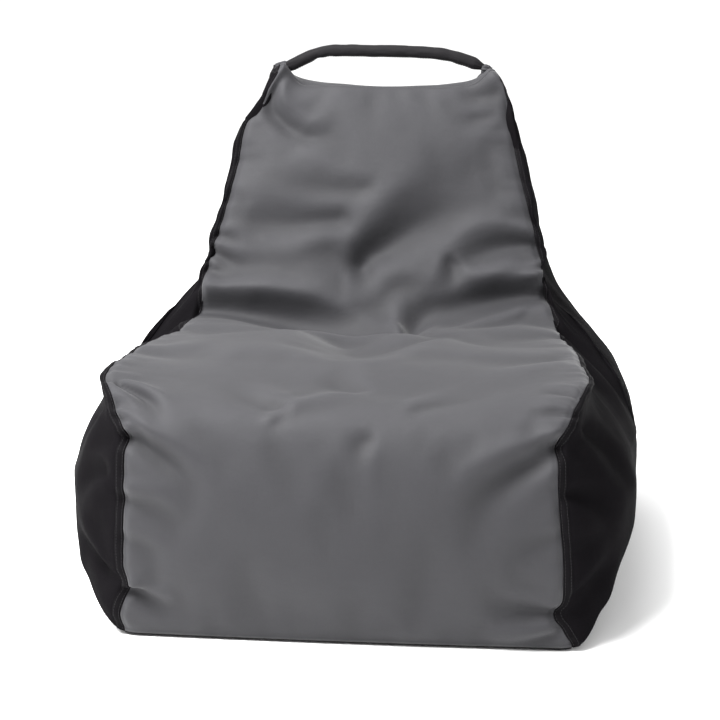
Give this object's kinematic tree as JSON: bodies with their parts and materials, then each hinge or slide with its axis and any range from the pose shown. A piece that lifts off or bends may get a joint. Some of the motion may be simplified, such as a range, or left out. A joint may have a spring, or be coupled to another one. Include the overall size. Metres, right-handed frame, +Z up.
{
  "type": "bean bag chair",
  "caption": "Bean-filled lounge chair of two-tone sewn panels with a low seat, sloping backrest, padded carry handle at the top and a zip low on the rear.",
  "frame": {"origin": "on the floor, under the middle of the chair's bounding box", "axes": "+X to the right as seen by a person who faces the chair's front, which is the sitter's left; -Y to the front; +Z up"},
  "size_m": [0.8414, 0.8527, 0.7673],
  "materials": {
    "grey_weave": "matt coated polyester weave",
    "black_weave": "matt coated polyester weave",
    "base_weave": "coarse coated weave",
    "seam_fold": "folded and topstitched weave",
    "gathered_corner": "gathered weave",
    "handle_cloth": "matt weave",
    "handle_padding": "foam cord",
    "zip_tape": "woven tape",
    "zip_coil": "satin nylon",
    "zip_metal": "plated zinc",
    "liner_cloth": "thin non-woven cloth",
    "liner_zip_tape": "woven tape",
    "liner_zip_coil": "satin nylon",
    "liner_zip_metal": "plated zinc",
    "beads": "expanded polystyrene beads"
  },
  "bodies": {
    "bag": {"front_panel": "grey_weave", "rear_panel_upper": "grey_weave", "rear_panel_lower": "grey_weave", "base_panel": "base_weave", "left_side_panel": "black_weave", "right_side_panel": "black_weave", "left_front_seam": "seam_fold", "right_front_seam": "seam_fold", "left_rear_seam": "seam_fold", "right_rear_seam": "seam_fold", "left_handle_anchor": "gathered_corner", "right_handle_anchor": "gathered_corner", "zip_tape_upper": "zip_tape", "zip_tape_lower": "zip_tape", "zip_coil_upper": "zip_coil", "zip_coil_lower": "zip_coil", "zip_stops": "zip_metal", "liner_wrap": "liner_cloth", "liner_left_side": "liner_cloth", "liner_right_side": "liner_cloth", "liner_zip_tapes": "liner_zip_tape", "liner_zip_coils": "liner_zip_coil", "liner_zip_stops": "liner_zip_metal", "bead_filling": "beads"},
    "handle": {"handle_sleeve": "handle_cloth", "handle_core": "handle_padding"},
    "slider": {"zip_slider": "zip_metal"},
    "pull": {"zip_pull": "zip_metal"},
    "liner_slider": {"liner_zip_slider": "liner_zip_metal"}
  },
  "joints": [
    {"name": "handle_swing", "type": "hinge", "parent": "bag", "child": "handle", "pos_m": [0, 0.289, 0.72681], "axis": [1, 0, 0], "range_deg": [-60, 60]},
    {"name": "zip_slide", "type": "slide", "parent": "bag", "child": "slider", "axis": [1, 0, 0], "range_m": [-0.42, 0]},
    {"name": "pull_swing", "type": "hinge", "parent": "slider", "child": "pull", "pos_m": [0.21, 0.4091, 0.11], "axis": [1, 0, 0], "range_deg": [0, 170]},
    {"name": "liner_zip_slide", "type": "slide", "parent": "bag", "child": "liner_slider", "axis": [1, 0, 0], "range_m": [-0.28, 0]}
  ]
}
